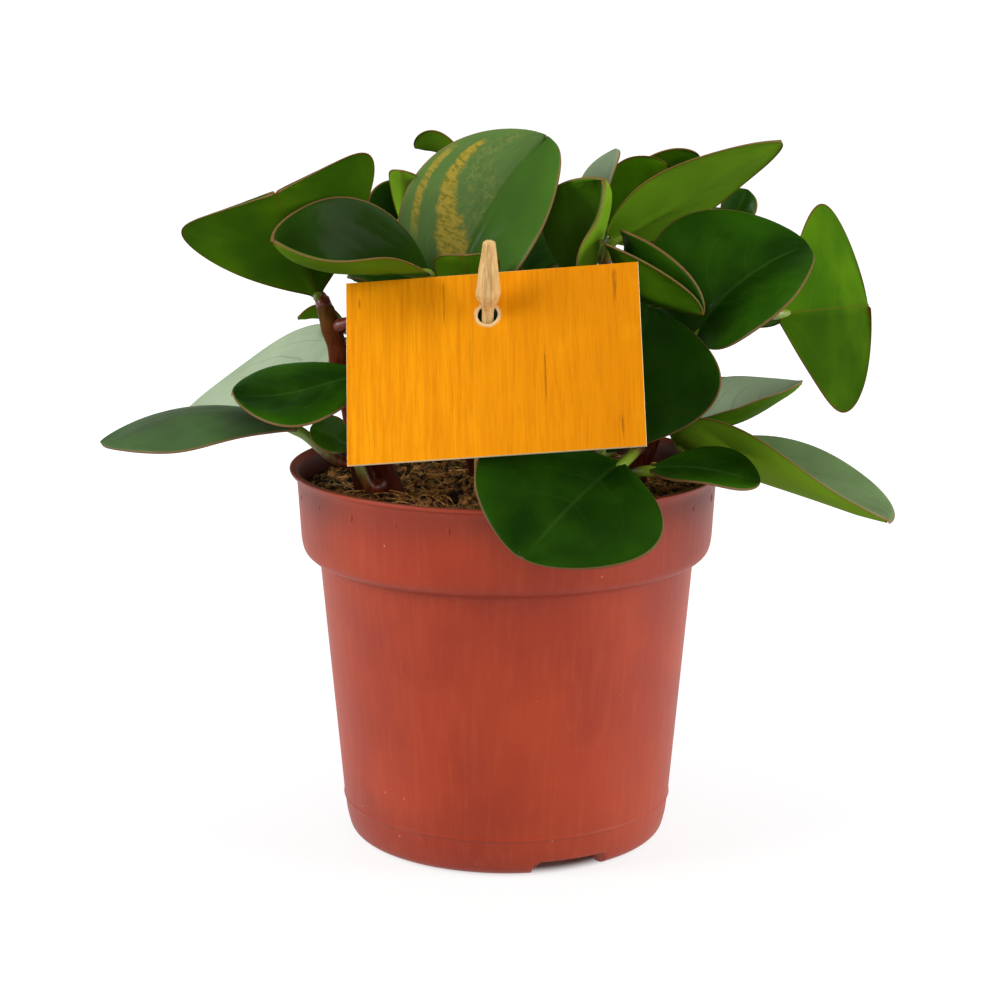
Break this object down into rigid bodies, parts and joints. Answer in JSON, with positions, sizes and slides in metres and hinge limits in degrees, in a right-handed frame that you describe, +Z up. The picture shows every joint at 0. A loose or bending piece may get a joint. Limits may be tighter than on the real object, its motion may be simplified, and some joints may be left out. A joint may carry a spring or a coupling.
{
  "type": "potted peperomia",
  "caption": "Bushy peperomia with broad glossy leaves on red-brown stems in a round tapered nursery pot, with a bare wood-print card hung on a whittled stake.",
  "frame": {"origin": "on the pot's axis, at the level that the pot's foot rests on, which is the middle of the underside of the whole object's box to within 1 mm", "axes": "+Z up along the pot's axis, -Y towards the viewer and the card's printed side, +X to the viewer's right, along the plant's widest spread"},
  "size_m": [0.2101, 0.169, 0.1969],
  "materials": {
    "pot_plastic": "thin terracotta-coloured moulded plastic, satin, lightly scuffed",
    "potting_soil": null,
    "stem_skin": null,
    "leaf_green": null,
    "variegated_leaf": null,
    "printed_card": "orange wood-grain print on pale board, satin",
    "pale_wood": "bare whittled softwood, matt"
  },
  "bodies": {
    "root": {"pot": "pot_plastic", "soil": "potting_soil", "stem_1": "stem_skin", "stem_2": "stem_skin", "stem_3": "stem_skin", "stem_4": "stem_skin", "stem_5": "stem_skin", "stem_6": "stem_skin", "stem_7": "stem_skin", "leaf_01": "leaf_green", "leaf_02": "leaf_green", "leaf_03": "variegated_leaf", "leaf_04": "leaf_green", "leaf_05": "leaf_green", "leaf_06": "leaf_green", "leaf_07": "leaf_green", "leaf_08": "leaf_green", "leaf_09": "leaf_green", "leaf_10": "leaf_green", "leaf_11": "leaf_green", "leaf_12": "leaf_green", "leaf_13": "leaf_green", "leaf_14": "leaf_green", "leaf_15": "leaf_green", "leaf_16": "leaf_green", "leaf_17": "leaf_green", "leaf_18": "leaf_green", "leaf_19": "leaf_green", "leaf_20": "leaf_green", "leaf_21": "leaf_green", "leaf_22": "leaf_green", "leaf_23": "leaf_green", "leaf_24": "leaf_green", "leaf_25": "leaf_green", "leaf_26": "leaf_green", "leaf_27": "leaf_green", "leaf_28": "leaf_green", "leaf_29": "leaf_green", "leaf_30": "leaf_green", "leaf_31": "leaf_green", "leaf_32": "leaf_green", "leaf_33": "leaf_green", "leaf_34": "leaf_green", "leaf_35": "leaf_green", "leaf_36": "leaf_green", "leaf_37": "leaf_green", "leaf_38": "leaf_green", "leaf_39": "leaf_green", "leaf_40": "leaf_green", "card": "printed_card", "stake": "pale_wood"}
  },
  "joints": []
}
